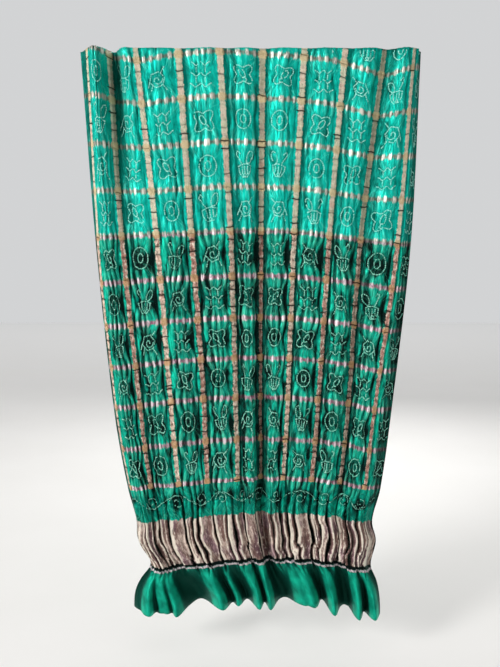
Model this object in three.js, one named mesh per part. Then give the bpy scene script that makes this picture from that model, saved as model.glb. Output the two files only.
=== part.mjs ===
// A bandhani cloth: one length of crinkled, tie-dyed silk that hangs by its top edge.
// Checks of metal-thread bands are woven into it. Below the checks come a tissue band, which is gathered
// into deep pleats, and a plain end that opens into flares.
//
// Millimetres, +Z up. The origin is the middle of the top edge. The cloth faces -Y and drops to -Z.
import * as THREE from "three";

// Cloth
const CELL = 100; // flat pitch of the woven checks, across the cloth
const THICKNESS = 2;

// Fine folds, counted over the whole width, and their greatest depth from ridge to valley
const CRINKLES = 52;
const PLEATS = 26;
const CRINKLE_DEPTH = 8;
const PLEAT_DEPTH = 12;
const UNEVEN = 0.35; // a fold's share more or less than that depth
const WANDER = 0.45; // how far a fold strays to either side on its way down, in crinkles
const SELVEDGE = 2.5; // the crinkles next to a selvedge, which flatten out towards it

// Where the cloth changes, as the drop below its top edge
const DYE_LINE = 370;
const CHECK_END = 903;
const TISSUE_TOP = 975;
const TISSUE_END = 1076;
const FLARE_START = 1056;
const PLEAT_END = 1155;
const HEM = 1195;

// The silhouette: where the two selvedges hang at each drop.
const OUTLINE = [
  { drop: 0, left: -353, right: 355 },
  { drop: 370, left: -328, right: 341 },
  { drop: 735, left: -294, right: 306 },
  { drop: 903, left: -268, right: 286 },
  { drop: 975, left: -250, right: 269 },
  { drop: 1020, left: -247, right: 278 },
  { drop: 1078, left: -217, right: 266 },
  { drop: 1117, left: -229, right: 276 },
  { drop: HEM, left: -256, right: 286 },
];

// The tables below have a column for each of these heights.
const HEIGHTS = [
  { name: "top", drop: 0 },
  { name: "dye", drop: DYE_LINE },
  { name: "low", drop: 735 },
  { name: "end", drop: CHECK_END },
];

// The warp bands and the two selvedges. across counts checks over the flat cloth, and the other columns
// give each one's share of the hanging width.
const BANDS = [
  { across: 0.5, top: 0, dye: 0, low: 0, end: 0 },
  { across: 1, top: 0.027, dye: 0.016, low: 0.018, end: 0.022 },
  { across: 2, top: 0.087, dye: 0.088, low: 0.1, end: 0.096 },
  { across: 3, top: 0.168, dye: 0.198, low: 0.21, end: 0.207 },
  { across: 4, top: 0.291, dye: 0.307, low: 0.325, end: 0.318 },
  { across: 5, top: 0.41, dye: 0.428, low: 0.438, end: 0.434 },
  { across: 6, top: 0.535, dye: 0.525, low: 0.526, end: 0.526 },
  { across: 7, top: 0.656, dye: 0.628, low: 0.622, end: 0.61 },
  { across: 8, top: 0.773, dye: 0.738, low: 0.73, end: 0.722 },
  { across: 9, top: 0.889, dye: 0.836, low: 0.838, end: 0.831 },
  { across: 10, top: 0.972, dye: 0.95, low: 0.928, end: 0.927 },
  { across: 10.75, top: 1, dye: 1, low: 1, end: 1 },
];

// How much lower the weft hangs at each place than at its highest.
const SAG = [
  { across: 0.5, top: -14, dye: 14, low: 24, end: 24 },
  { across: 2, top: 2, dye: 11, low: 20, end: 19 },
  { across: 3, top: 19, dye: 8, low: 10, end: 13 },
  { across: 4, top: 5, dye: 5, low: 4, end: 7 },
  { across: 5, top: 0, dye: 0, low: 0, end: 1 },
  { across: 6, top: 5, dye: 0, low: 1, end: 2 },
  { across: 7, top: 12, dye: 2, low: 1, end: 0 },
  { across: 8, top: 24, dye: 10, low: 6, end: 3 },
  { across: 9, top: 49, dye: 18, low: 15, end: 10 },
  { across: 10, top: 33, dye: 27, low: 28, end: 20 },
  { across: 10.75, top: 24, dye: 27, low: 31, end: 29 },
];

// The main folds: a valley has a positive depth and a ridge a negative one. width is in checks.
const MAIN_FOLDS = [
  { across: 0.5, width: 0.42, top: 36, dye: 28, low: 28, end: 32 },
  { across: 1.45, width: 0.32, top: -24, dye: -9, low: -8, end: -8 },
  { across: 2.18, width: 0.24, top: 40, dye: 10, low: 5, end: 8 },
  { across: 2.7, width: 0.22, top: -10, dye: -4, low: -8, end: -7 },
  { across: 3.5, width: 0.3, top: -6, dye: -7, low: -9, end: -6 },
  { across: 4.1, width: 0.16, top: 3, dye: 4, low: 5, end: 3 },
  { across: 4.7, width: 0.28, top: -7, dye: -8, low: -11, end: -9 },
  { across: 5.2, width: 0.16, top: 2, dye: 5, low: 6, end: 4 },
  { across: 5.6, width: 0.22, top: -6, dye: -7, low: -8, end: -10 },
  { across: 6.05, width: 0.27, top: 6, dye: 12, low: 21, end: 25 },
  { across: 6.5, width: 0.26, top: -7, dye: -7, low: -9, end: -9 },
  { across: 7.15, width: 0.16, top: 3, dye: 5, low: 6, end: 5 },
  { across: 7.55, width: 0.28, top: -7, dye: -8, low: -9, end: -8 },
  { across: 8.15, width: 0.16, top: 3, dye: 5, low: 6, end: 4 },
  { across: 8.6, width: 0.26, top: -6, dye: -7, low: -9, end: -6 },
  { across: 9.1, width: 0.24, top: 14, dye: 12, low: 14, end: 11 },
  { across: 9.65, width: 0.26, top: -12, dye: -8, low: -7, end: -7 },
  { across: 10.75, width: 0.4, top: 32, dye: 26, low: 30, end: 33 },
];

// The flares of the plain end along its hem, from one selvedge to the other. A ridge comes forward, so
// its depth is negative. lift is how far the hem is drawn up there. The lengths between these places,
// added up, are the flat width, which is how the flares take up the whole cloth.
const FLARES = [
  { x: -256, depth: 22, lift: 24 },
  { x: -219, depth: -21, lift: 17 },
  { x: -190, depth: -4, lift: 16 },
  { x: -158, depth: -23, lift: 14 },
  { x: -112, depth: 40, lift: 26 },
  { x: -60, depth: -24, lift: 22 },
  { x: -41, depth: 14, lift: 14 },
  { x: -26, depth: -4, lift: 16 },
  { x: -6, depth: 34, lift: 16 },
  { x: 21, depth: -24, lift: 13 },
  { x: 34, depth: 6, lift: 12 },
  { x: 46, depth: -22, lift: 12 },
  { x: 76, depth: 36, lift: 16 },
  { x: 110, depth: -15, lift: 20 },
  { x: 141, depth: -22, lift: 16 },
  { x: 160, depth: 32, lift: 12 },
  { x: 184, depth: -20, lift: 2 },
  { x: 211, depth: 36, lift: 8 },
  { x: 236, depth: -22, lift: 4 },
  { x: 253, depth: 10, lift: 8 },
  { x: 271, depth: -23, lift: 12 },
  { x: 286, depth: 10, lift: 18 },
];

// Rows of the solid, closest together where the folds change most.
const ROWS = [
  { drop: 0, rows: 0 },
  { drop: DYE_LINE, rows: 5 },
  { drop: CHECK_END, rows: 13 },
  { drop: TISSUE_TOP, rows: 15 },
  { drop: TISSUE_END, rows: 18 },
  { drop: HEM, rows: 22 },
];
const COLUMNS = 2 * CRINKLES; // one on each ridge and one in each valley

const FIRST = BANDS[0].across;
const CHECKS = BANDS[BANDS.length - 1].across - FIRST;

// Each flare is given its place on the flat cloth.
const lengths = FLARES.map((b, i) => {
  const a = FLARES[Math.max(i - 1, 0)];
  return Math.hypot(b.x - a.x, b.depth - a.depth);
});
const hemLength = lengths.reduce((sum, length) => sum + length, 0);
FLARES.forEach((flare, i) => {
  const before = lengths.slice(0, i + 1).reduce((sum, length) => sum + length, 0);
  flare.across = FIRST + (CHECKS * before) / hemLength;
});

const ease = (t) => {
  const k = Math.min(Math.max(t, 0), 1);
  return k * k * (3 - 2 * k);
};
const rise = (from, to, at) => ease((at - from) / (to - from));

// A table's column at a place between its rows, on a straight line or on a smooth curve through them.
function straight(rows, key, value, at) {
  let i = 1;
  while (i < rows.length - 1 && at > rows[i][key]) i += 1;
  const share = (at - rows[i - 1][key]) / (rows[i][key] - rows[i - 1][key]);
  return THREE.MathUtils.lerp(rows[i - 1][value], rows[i][value], share);
}
function smooth(rows, key, value, at) {
  let i = 1;
  while (i < rows.length - 1 && at > rows[i][key]) i += 1;
  const slope = (k) => {
    const a = rows[Math.max(k - 1, 0)];
    const b = rows[Math.min(k + 1, rows.length - 1)];
    return (b[value] - a[value]) / (b[key] - a[key]);
  };
  const [a, b] = [rows[i - 1], rows[i]];
  const gap = b[key] - a[key];
  const t = (at - a[key]) / gap;
  const bend = t * t * (3 - 2 * t);
  const leave = t * (1 - t) * (1 - t) * gap * slope(i - 1);
  const arrive = t * t * (1 - t) * gap * slope(i);
  return a[value] * (1 - bend) + b[value] * bend + leave - arrive;
}

// A slow, uneven swing between about -1 and 1, different at each place on the cloth.
const swing = (a, b) => 0.6 * Math.sin(a + 1.3 * b) + 0.4 * Math.sin(2.3 * a - 0.7 * b + 1.1);

// The check coordinate of fold line q, which wanders a little down the cloth. q counts crinkles.
function acrossAt(q, drop) {
  const inner = Math.sin((Math.PI * q) / CRINKLES);
  const wander = WANDER * swing(0.55 * q, 0.012 * drop) * Math.min(1, 3 * inner);
  return FIRST + (CHECKS * (q + wander)) / CRINKLES;
}

// A row's value at a drop, and a table's value at a place and a drop.
function atDrop(row, drop) {
  const heights = HEIGHTS.map((height) => ({ drop: height.drop, value: row[height.name] }));
  return smooth(heights, "drop", "value", Math.min(drop, CHECK_END));
}
function atPlace(table, across, drop) {
  const rows = table.map((row) => ({ across: row.across, value: atDrop(row, drop) }));
  return smooth(rows, "across", "value", across);
}

function sideways(across, drop) {
  const left = smooth(OUTLINE, "drop", "left", drop);
  const right = smooth(OUTLINE, "drop", "right", drop);
  return left + (right - left) * atPlace(BANDS, across, drop);
}

function mainDepth(across, drop) {
  return MAIN_FOLDS.reduce((sum, fold) => {
    return sum + atDrop(fold, drop) * Math.exp(-(((across - fold.across) / fold.width) ** 2));
  }, 0);
}

// A point of the cloth's middle surface, without its fine folds.
function drape(across, drop) {
  const flared = rise(FLARE_START, HEM, drop);
  const flare = (value) => flared * smooth(FLARES, "across", value, across);
  const x = (1 - flared) * sideways(across, drop) + flare("x");
  const depth = (1 - flared) * mainDepth(across, drop) + flare("depth");
  const lower = drop + atPlace(SAG, across, drop) * rise(0, DYE_LINE, drop);
  return new THREE.Vector3(x, depth, flare("lift") - lower);
}

// A point of the middle surface. The fine folds stand square to the main ones. Their depth comes from the
// slack, which is what a check's flat width has left over along the cloth's section.
function surface(q, drop) {
  const across = acrossAt(q, drop);
  const step = 0.1;
  const along = drape(across + step, drop).sub(drape(across - step, drop)).divideScalar(2 * step);
  const spread = Math.hypot(along.x, along.y);
  const slack = Math.sqrt(Math.max(CELL ** 2 - spread ** 2, 0));
  const depthOf = (folds, most) => Math.min((slack * CHECKS) / (2 * folds), most);

  const tissue = rise(CHECK_END, TISSUE_TOP, drop);
  const pleated = tissue * (1 - rise(TISSUE_END, PLEAT_END, drop));
  const crinkled = (1 - 0.8 * tissue) * (1 - 0.8 * rise(TISSUE_END, HEM, drop));
  const crinkle = crinkled * depthOf(CRINKLES, CRINKLE_DEPTH) * Math.cos(2 * Math.PI * q);
  const pleatTurn = (2 * Math.PI * PLEATS * q) / CRINKLES + 0.8 * swing(0.5 * q, 0);
  const pleat = pleated * depthOf(PLEATS, PLEAT_DEPTH) * Math.cos(pleatTurn);
  const uneven = 1 + UNEVEN * swing(1.9 * q, 0.009 * drop);
  const fromSelvedge = rise(0, SELVEDGE, Math.min(q, CRINKLES - q));
  const forward = (fromSelvedge * uneven * (crinkle + pleat)) / 2 / spread;

  const place = drape(across, drop);
  place.x += forward * along.y;
  place.y -= forward * along.x;
  return place;
}

// The middle surface at each column and row of the solid.
const rowCount = ROWS[ROWS.length - 1].rows;
const middle = [];
for (let row = 0; row <= rowCount; row += 1) {
  const drop = straight(ROWS, "rows", "drop", row);
  middle.push([]);
  for (let column = 0; column <= COLUMNS; column += 1) {
    middle[row].push(surface((CRINKLES * column) / COLUMNS, drop));
  }
}
function middleAt(column, row) {
  const line = middle[THREE.MathUtils.clamp(row, 0, rowCount)];
  return line[THREE.MathUtils.clamp(column, 0, COLUMNS)].clone();
}

// The way the cloth faces there, away from the viewer: square to its rows, and halfway between square to
// the two facets that meet on its column.
function facing(column, row) {
  const here = middleAt(column, row);
  const before = here.clone().sub(middleAt(column - 1, row)).normalize();
  const after = middleAt(column + 1, row).sub(here).normalize();
  const down = middleAt(column, row + 1).sub(middleAt(column, row - 1));
  return before.add(after).cross(down).normalize();
}

// A box's two broad faces are cut into triangles along opposite diagonals. This turns those of the face at
// -Y, so that both faces of the cloth bend along the same lines.
function matchDiagonals(box) {
  const front = box.groups.find((group) => group.materialIndex === 3);
  const index = box.getIndex();
  for (let i = front.start; i < front.start + front.count; i += 6) {
    const [a, b, d, , c] = index.array.slice(i, i + 6);
    index.array.set([a, b, c, a, c, d], i);
  }
}

// The sheet is a thin box, cut into columns and rows, with every point moved onto one face of the cloth.
function cloth() {
  const sheet = new THREE.BoxGeometry(COLUMNS, THICKNESS, rowCount, COLUMNS, 1, rowCount);
  matchDiagonals(sheet);
  const points = sheet.getAttribute("position");
  for (let i = 0; i < points.count; i += 1) {
    const column = Math.round(COLUMNS / 2 + points.getX(i));
    const row = Math.round(rowCount / 2 - points.getZ(i));
    const place = middleAt(column, row).addScaledVector(facing(column, row), points.getY(i));
    points.setXYZ(i, place.x, place.y, row === 0 ? 0 : place.z);
  }
  sheet.deleteAttribute("normal");
  sheet.deleteAttribute("uv");
  sheet.computeVertexNormals();
  const silk = new THREE.MeshStandardMaterial({ color: 0x0c9d7c, roughness: 0.45, metalness: 0 });
  const mesh = new THREE.Mesh(sheet, silk);
  mesh.name = "cloth";
  return mesh;
}

const part = new THREE.Group();
part.add(cloth());
export default part;
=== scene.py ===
import math

import bmesh
import bpy
import numpy as np
from mathutils import Matrix, Vector


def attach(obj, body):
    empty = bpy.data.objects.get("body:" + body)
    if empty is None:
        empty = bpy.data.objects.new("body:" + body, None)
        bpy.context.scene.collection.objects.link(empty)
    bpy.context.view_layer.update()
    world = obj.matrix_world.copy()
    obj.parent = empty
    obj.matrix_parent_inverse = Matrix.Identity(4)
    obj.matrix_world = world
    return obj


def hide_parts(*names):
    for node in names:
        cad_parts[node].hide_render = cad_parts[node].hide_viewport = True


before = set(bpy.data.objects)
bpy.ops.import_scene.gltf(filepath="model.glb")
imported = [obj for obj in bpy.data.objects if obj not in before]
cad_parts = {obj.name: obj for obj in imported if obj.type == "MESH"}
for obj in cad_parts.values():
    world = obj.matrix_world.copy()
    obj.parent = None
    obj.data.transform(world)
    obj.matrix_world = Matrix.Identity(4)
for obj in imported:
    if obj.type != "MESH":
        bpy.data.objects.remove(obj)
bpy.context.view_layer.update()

# Everything is in metres, except where a table is in millimetres and divided by 1000. The cloth faces -Y
# and hangs down from z = 0, the middle of its top edge.
# A place on the flat silk is given in the weave's own count: "across" is in checks, with a warp band
# at each whole number, and "row" has a weft line at each whole number from 1 to 11. "drop" is how far
# down the cloth a place lies, before the weft lines' sag.

# ---- The silk as woven ----
CHECK_WIDTH = 0.100
CHECK_HEIGHT = 0.090
SILK_THICKNESS = 0.0007
BAND_HALF = 0.055
WEFT_HALF = 0.047
CROSSING_HALF_WIDTH = 0.084
CROSSING_HALF_HEIGHT = 0.095
MIDDLE = 5.6
DYE_ROW = 5
LAST_WEFT_ROW = 11
TISSUE_ROW = 12
PLAIN_ROW = 13
HEM_ROW = 14
# The drop of each row, from 0 to 14.
ROW_DROPS = (
    -0.082, 0.007, 0.096, 0.188, 0.279, 0.370, 0.464, 0.552,
    0.637, 0.721, 0.812, 0.899, 0.975, 1.076, 1.195,
)

# ---- The cloth as hung, as in the solid ----
# LEAN_STEP is how many checks to either side of a place the cloth's lean there is measured.
CRINKLES_PER_CHECK = 5
PLEATS = 27
CRINKLE_DEPTH = 0.008
PLEAT_DEPTH = 0.011
UNEVEN = 0.35
SELVEDGE = 0.5
LEAN_STEP = 0.1
DYE_DROP = 0.370
CHECK_END = 0.903
TISSUE_TOP = 0.975
TISSUE_END = 1.076
FLARE_START = 1.056
PLEAT_START = 0.885
PLEAT_END = 1.120
HEM = 1.195

# Drop, then the cloth's left and right edge.
OUTLINE = np.array([
    (0, -353, 355), (370, -328, 341), (735, -294, 306), (903, -268, 286), (975, -250, 269),
    (1020, -247, 278), (1078, -217, 266), (1117, -229, 276), (1195, -256, 286),
]) / 1000
# The bands, sag and folds below have one value at each of these drops.
HEIGHTS = (0.0, 0.370, 0.735, 0.903)
# Across, then that place's share of the hanging width.
BANDS = np.array([
    (0.5, 0, 0, 0, 0), (1, 0.027, 0.016, 0.018, 0.022), (2, 0.087, 0.088, 0.100, 0.096),
    (3, 0.168, 0.198, 0.210, 0.207), (4, 0.291, 0.307, 0.325, 0.318), (5, 0.410, 0.428, 0.438, 0.434),
    (6, 0.535, 0.525, 0.526, 0.526), (7, 0.656, 0.628, 0.622, 0.610), (8, 0.773, 0.738, 0.730, 0.722),
    (9, 0.889, 0.836, 0.838, 0.831), (10, 0.972, 0.950, 0.928, 0.927), (10.75, 1, 1, 1, 1),
])
# Across, then how far the weft lines sag there.
SAG = np.array([
    (0.5, -14, 14, 24, 24), (2, 2, 11, 20, 19), (3, 19, 8, 10, 13), (4, 5, 5, 4, 7), (5, 0, 0, 0, 1),
    (6, 5, 0, 1, 2), (7, 12, 2, 1, 0), (8, 24, 10, 6, 3), (9, 49, 18, 15, 10), (10, 33, 27, 28, 20),
    (10.75, 24, 27, 31, 29),
])
SAG[:, 1:] /= 1000
# Across and width in checks, then how far back the fold lies.
MAIN_FOLDS = np.array([
    (0.50, 0.42, 36, 28, 28, 32), (1.45, 0.32, -24, -9, -8, -8), (2.18, 0.24, 40, 10, 5, 8),
    (2.70, 0.22, -10, -4, -8, -7), (3.50, 0.30, -6, -7, -9, -6), (4.10, 0.16, 3, 4, 5, 3),
    (4.70, 0.28, -7, -8, -11, -9), (5.20, 0.16, 2, 5, 6, 4), (5.60, 0.22, -6, -7, -8, -10),
    (6.05, 0.27, 6, 12, 21, 25), (6.50, 0.26, -7, -7, -9, -9), (7.15, 0.16, 3, 5, 6, 5),
    (7.55, 0.28, -7, -8, -9, -8), (8.15, 0.16, 3, 5, 6, 4), (8.60, 0.26, -6, -7, -9, -6),
    (9.10, 0.24, 14, 12, 14, 11), (9.65, 0.26, -12, -8, -7, -7), (10.75, 0.40, 32, 26, 30, 33),
])
MAIN_FOLDS[:, 2:] /= 1000
# The plain end's flares: sideways place, depth, and how far the hem lifts there.
FLARES = np.array([
    (-256, 22, 24), (-219, -21, 17), (-190, -4, 16), (-158, -23, 14), (-112, 40, 26), (-60, -24, 22),
    (-41, 14, 14), (-26, -4, 16), (-6, 34, 16), (21, -24, 13), (34, 6, 12), (46, -22, 12), (76, 36, 16),
    (110, -15, 20), (141, -22, 16), (160, 32, 12), (184, -20, 2), (211, 36, 8), (236, -22, 4),
    (253, 10, 8), (271, -23, 12), (286, 10, 18),
]) / 1000

# Narrow creases between the flares: sideways place, half width, and how far back.
FRILL_CREASES = np.array([
    (-240, 6, 6), (-206, 7, 18), (-170, 7, 20), (-140, 12, 12), (-36, 9, 18), (31, 6, 14), (60, 10, 12),
    (128, 6, 6), (166, 7, 8), (197, 8, 10), (221, 5, 12), (252, 6, 12),
]) / 1000

# ---- The cloth's mesh ----
COLUMNS = 328
FIELD_ROWS = 114
TISSUE_ROWS = 22
PLAIN_ROWS = 14

# ---- Tied dots ----
DOT_LENGTH = 0.0050
DOT_WIDTH = 0.0030
DOT_HEIGHT = 0.0022
VINE_DOT = 0.8
DOT_PITCH = 0.0042
RUNGS_PER_ROW = 5.2
MOTIF_WIDTH = 1.14
MOTIF_HEIGHT = 1.08
VINE_BEND = 0.80
TIED_SINK = 0.0022
SELVEDGE_GAP = 0.04
TOP_GAP = 0.004
MISSING_DOTS = 0.03
MISSING_VINE_DOTS = 0.20
DOTS_BATCH = 1200
SAG_ROUNDS = 12
MOTIF_SEED, SCATTER_SEED, VINE_SEED, MISSING_SEED, PLEAT_SEED = 5, 6, 7, 8, 21

# ---- Stage ----
FLOOR_Z = -1.30
EYE = (0.0, -1.75, -0.4014)
PITCH_DOWN = math.radians(6)
LENS = 44.96
# Name, place, what it aims at, size and power.
LIGHTS = (
    ("key", (-4.2, -3.6, 1.4), (0, 0, -0.55), 1.7, 270),
    ("fill", (1.7, -2.2, -0.7), (0, 0, -0.7), 1.4, 8),
    ("back", (0.4, 2.2, 0.6), (0, 0, -0.6), 1.6, 40),
    ("overhead", (0, 1.5, 4.5), (0, 1.5, 0), 12, 260),
)
STUDIO_GREY = (0.86, 0.87, 0.88, 1)


def ease(share):
    """From 0 to 1 as share does, and level at both ends."""
    kept = np.clip(share, 0, 1)
    return kept * kept * (3 - 2 * kept)


def rise(start, end, at):
    """From 0 at start to 1 at end."""
    return ease((at - start) / (end - start))


def slopes(keys, values):
    """How steeply a curve through values runs at each key."""
    after = np.minimum(np.arange(len(keys)) + 1, len(keys) - 1)
    before = np.maximum(np.arange(len(keys)) - 1, 0)
    run = (keys[after] - keys[before]).reshape((-1,) + (1,) * (values.ndim - 1))
    return (values[after] - values[before]) / run


def smooth(keys, values, at):
    """A smooth curve through values at keys: one value, or one array shaped like at, for each key."""
    keys = np.asarray(keys, float)
    values = np.asarray(values, float)
    at = np.asarray(at, float)
    lean = slopes(keys, values)
    after = np.clip(np.searchsorted(keys, at), 1, len(keys) - 1)
    gap = keys[after] - keys[after - 1]
    share = (at - keys[after - 1]) / gap

    def pick(rows, index):
        if rows.ndim == 1:
            return rows[index]
        return np.take_along_axis(rows, index[None], 0)[0]

    bend = share * share * (3 - 2 * share)
    leave = share * (1 - share) ** 2 * gap
    arrive = share * share * (1 - share) * gap
    flat = pick(values, after - 1) * (1 - bend) + pick(values, after) * bend
    return flat + leave * pick(lean, after - 1) - arrive * pick(lean, after)


def swing(a, b):
    """An uneven wave between -1 and 1 over two numbers."""
    return 0.6 * np.sin(a + 1.3 * b) + 0.4 * np.sin(2.3 * a - 0.7 * b + 1.1)


def at_drop(values, drop):
    """What the values at HEIGHTS come to at a drop."""
    return smooth(HEIGHTS, values, np.minimum(drop, CHECK_END))


def at_place(table, across, drop):
    """A table's value at a place on the cloth."""
    return smooth(table[:, 0], np.stack([at_drop(line[1:], drop) for line in table]), across)


def sideways(across, drop):
    """How far to the side a place hangs."""
    left = smooth(OUTLINE[:, 0], OUTLINE[:, 1], drop)
    right = smooth(OUTLINE[:, 0], OUTLINE[:, 2], drop)
    return left + (right - left) * at_place(BANDS, across, drop)


def main_depth(across, drop):
    """How far back the main folds lie."""
    depth = np.zeros_like(across)
    for place, width, *depths in MAIN_FOLDS:
        depth += at_drop(depths, drop) * np.exp(-(((across - place) / width) ** 2))
    return depth


def flare_places():
    """Where on the flat silk each flare lies, from the length of cloth between them."""
    run = np.hypot(np.diff(FLARES[:, 0]), np.diff(FLARES[:, 1]))
    return LEFT_EDGE + CHECKS * np.concatenate([[0], np.cumsum(run)]) / run.sum()


LEFT_EDGE = BANDS[0, 0]
RIGHT_EDGE = BANDS[-1, 0]
CHECKS = RIGHT_EDGE - LEFT_EDGE
FLARE_PLACES = flare_places()


def frill_creases(across):
    """How far back the creases between the flares lie."""
    sideways_at = smooth(FLARE_PLACES, FLARES[:, 0], across)
    depth = np.zeros_like(across)
    for place, width, back in FRILL_CREASES:
        depth += back * np.exp(-(((sideways_at - place) / width) ** 2))
    return depth


def pleat_places():
    """Where the slots between the tissue's pleats lie on the flat silk, each with its width and depth."""
    random = np.random.default_rng(PLEAT_SEED)
    widths = random.uniform(0.5, 1.5, PLEATS)
    places = LEFT_EDGE + CHECKS * np.concatenate([[0], np.cumsum(widths)]) / widths.sum()
    return places, random.uniform(0.030, 0.068, PLEATS + 1), random.uniform(0.5, 1.2, PLEATS + 1)


SLOTS, SLOT_WIDTHS, SLOT_DEPTHS = pleat_places()


def drape(across, drop):
    """The cloth's main folds, before its crinkles."""
    flared = rise(FLARE_START, HEM, drop)
    x = (1 - flared) * sideways(across, drop) + flared * smooth(FLARE_PLACES, FLARES[:, 0], across)
    flare = smooth(FLARE_PLACES, FLARES[:, 1], across) + frill_creases(across)
    y = (1 - flared) * main_depth(across, drop) + flared * flare
    lift = flared * smooth(FLARE_PLACES, FLARES[:, 2], across)
    z = lift - drop - at_place(SAG, across, drop) * rise(0, DYE_DROP, drop)
    return np.stack([x, y, z], -1)


def row_at(across, drop):
    """The row count at a place. The top edge is straight, and there the weft lines still sag below it."""
    sagged = at_place(SAG, across, drop) * (1 - rise(0, DYE_DROP, drop))
    return np.interp(drop - sagged, ROW_DROPS, range(len(ROW_DROPS)))


class Grain:
    """Smooth seeded noise between -1 and 1 over two numbers."""

    def __init__(self, seed, size=192):
        self.size = size
        self.table = np.random.default_rng(seed).uniform(-1, 1, (size, size))

    def at(self, u, v):
        low_u, low_v = np.floor(u).astype(int), np.floor(v).astype(int)
        share_u, share_v = ease(u - low_u), ease(v - low_v)
        left, right = low_u % self.size, (low_u + 1) % self.size
        ends = []
        for line in (low_v % self.size, (low_v + 1) % self.size):
            ends.append(self.table[left, line] * (1 - share_u) + self.table[right, line] * share_u)
        return ends[0] * (1 - share_v) + ends[1] * share_v


PUCKER_GRAIN, STREAK_GRAIN, PHASE_GRAIN, PLEAT_GRAIN, PATCH_GRAIN = (Grain(seed) for seed in range(11, 16))


def off_weft(row):
    """From 0 on a weft line to 1 midway between two."""
    return (1 - np.cos(2 * np.pi * row)) / 2


def over_emerald(row):
    """From 0 over the aqua to 1 over the emerald."""
    return rise(DYE_ROW - 0.5, DYE_ROW + 0.5, row)


def crinkle_wave(across, row):
    """The crinkles alone, from -1 in a valley to 1 on a crest: even at each weft line, wandering between."""
    off_line = off_weft(row)
    off_band = np.sin(np.pi * across) ** 2
    drawn_in = 0.42 * np.sin(2 * np.pi * across) * off_line
    stray = (0.55 + 0.4 * off_line) * off_band * PHASE_GRAIN.at(across * 2.3, row * 1.6)
    phase = CRINKLES_PER_CHECK * across - drawn_in + stray
    wave = 1 - 2 * ((1 - np.cos(2 * np.pi * phase)) / 2) ** (1.1 + 0.7 * off_line)
    return wave * (0.8 + 0.5 * PATCH_GRAIN.at(across * 4.1 + 40, row * 1.4))


def swells(across, row):
    """Between the weft lines each check swells to the right of its left band, up to 1, and sinks before its
    right one, down to -1, each check by its own amount and most of all over the emerald."""
    emerald = over_emerald(row)
    off_line = off_weft(row) * (row < TISSUE_ROW)
    check = np.floor(across)
    in_check = across - check
    wander = 0.04 * PHASE_GRAIN.at(check * 2.9, row * 2.2)
    swell = np.clip(0.60 + 0.95 * PATCH_GRAIN.at(check * 3.7 + 8, row * 1.1), 0, 1)
    sink = np.clip(0.15 + 0.50 * emerald + 0.95 * PATCH_GRAIN.at(check * 5.3 + 60, row * 1.1), 0, 1)
    swell = swell * off_line ** 0.6 * np.exp(-(((in_check - 0.18 - wander) / 0.09) ** 2))
    sink = sink * off_line ** 0.6 * np.exp(-(((in_check - 0.81 - wander) / 0.11) ** 2))
    return swell - sink


def crinkle_profile(across, row):
    """The whole shape of the checks: the crinkles, the swells and hollows over them, and the bands, which
    lie on a crest."""
    wave = crinkle_wave(across, row)
    shine = swells(across, row)
    wave += (1.25 - wave) * np.maximum(shine, 0)
    wave -= (1.35 + wave) * np.maximum(-shine, 0)
    proud = rise(0.13, 0.05, np.abs(across - np.round(across)))
    return wave + (0.3 + 0.5 * over_emerald(row) - wave) * proud


def pleat_profile(across, drop):
    """The tissue's pleats, from -1 in a slot to 1 on the fold beside it, with flatter faces between."""
    low = rise(1.02, 1.06, drop)
    stray = 0.035 * PLEAT_GRAIN.at(across * 2.1, drop * 13)
    stray += (0.05 + 0.05 * low) * PHASE_GRAIN.at(across * 4.1, drop * 58)
    at = across + stray
    after = np.clip(np.searchsorted(SLOTS, at), 1, PLEATS)
    left, right = at - SLOTS[after - 1], SLOTS[after] - at
    nearest = np.where(left < right, after - 1, after)
    away = np.abs(np.minimum(left, right))
    width = SLOT_WIDTHS[nearest]
    depth = SLOT_DEPTHS[nearest] * (1 + 0.35 * PATCH_GRAIN.at(nearest * 3.1, drop * 25))
    slot = np.clip(depth, 0, 1) * np.exp(-((away / width) ** 2))
    lit_side = np.where(left < right, 1.0, 0.6)
    fold = lit_side * np.exp(-(((away - 1.9 * width) / 0.036) ** 2))
    fold += (lit_side - 0.6) * (1 - fold) * np.exp(-((left / 0.20) ** 2))
    return 0.25 + 0.75 * fold - 2.0 * slot


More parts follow.
